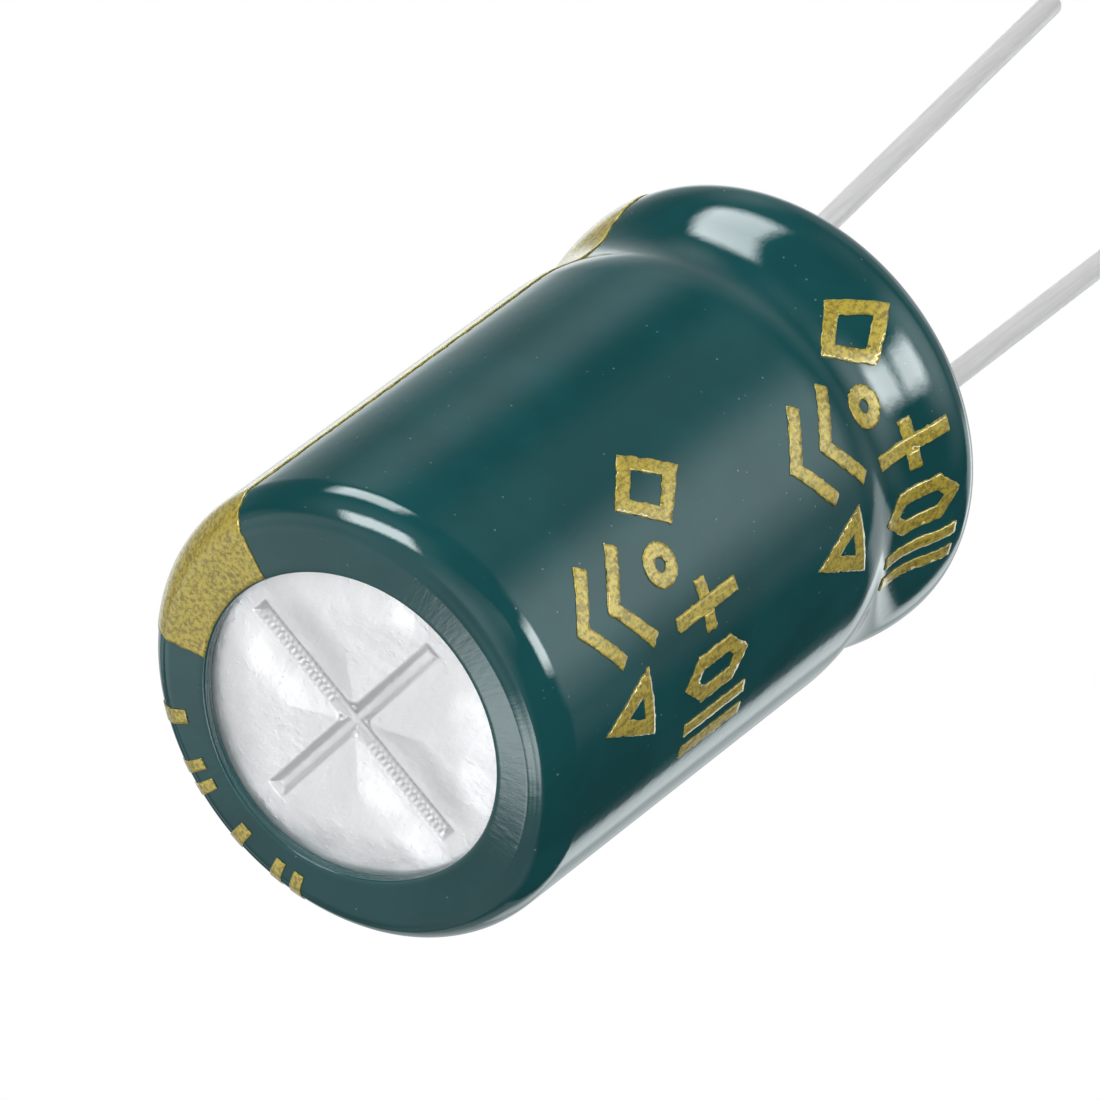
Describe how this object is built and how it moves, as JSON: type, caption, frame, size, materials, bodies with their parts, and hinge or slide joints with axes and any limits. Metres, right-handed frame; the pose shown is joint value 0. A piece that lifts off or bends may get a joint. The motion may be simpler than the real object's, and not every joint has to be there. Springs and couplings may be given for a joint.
{
  "type": "electrolytic capacitor",
  "caption": "Radial aluminium electrolytic capacitor: a crimped can with a scored vent, under a shrunk teal sleeve with a gold polarity stripe, on tinned wire leads.",
  "frame": {"origin": "on the seating plane at the leads' end, on the can's axis, halfway between the roots of the leads", "axes": "+Z from the seat to the vent, +X towards the positive lead; the leads run down -Z"},
  "size_m": [0.0133, 0.0132, 0.0454],
  "materials": {
    "sleeve_film": "gloss",
    "gold_ink": "satin",
    "can_aluminium": "satin",
    "bung_rubber": "matte",
    "foil_and_paper": "matte",
    "fixing_tape": "satin",
    "tab_aluminium": "satin",
    "tinned_wire": "satin"
  },
  "bodies": {
    "root": {"sleeve": "sleeve_film", "polarity_stripe": "gold_ink", "can": "can_aluminium", "bung": "bung_rubber", "winding": "foil_and_paper", "winding_tape": "fixing_tape", "tab_positive": "tab_aluminium", "tab_negative": "tab_aluminium", "lead_positive": "tinned_wire", "lead_negative": "tinned_wire"}
  },
  "joints": []
}
